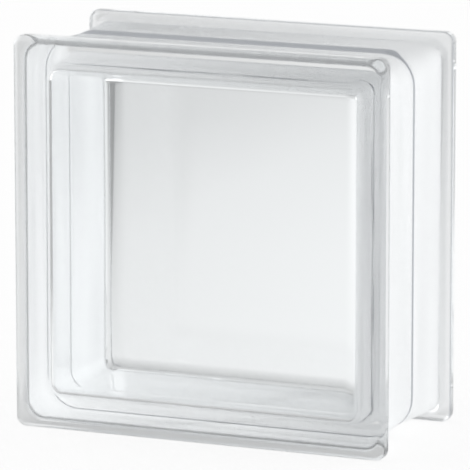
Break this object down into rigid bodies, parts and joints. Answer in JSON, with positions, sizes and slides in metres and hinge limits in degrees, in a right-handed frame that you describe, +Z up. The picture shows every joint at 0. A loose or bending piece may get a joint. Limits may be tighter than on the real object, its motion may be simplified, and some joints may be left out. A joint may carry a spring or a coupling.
{
  "type": "glass block",
  "caption": "Square hollow glass building block of two clear pressed half shells fused at mid depth, with a flange round each face and a mortar channel between the flanges.",
  "frame": {"origin": "bottom centre of the block, on the plane of the bottom flange strips that it stands on", "axes": "+X to the right across the front face, +Y from the front face through the block to the back face, +Z up"},
  "size_m": [0.197, 0.098, 0.197],
  "materials": {
    "clear_glass": "clear pressed soda-lime glass, fire-polished, faint grey-green tint",
    "edge_coating": "thin translucent white mortar-bond coating on the channel and on the inner sides of the flanges; too thin to be a solid of its own"
  },
  "bodies": {
    "root": {"front_half": "clear_glass", "back_half": "clear_glass"}
  },
  "joints": []
}
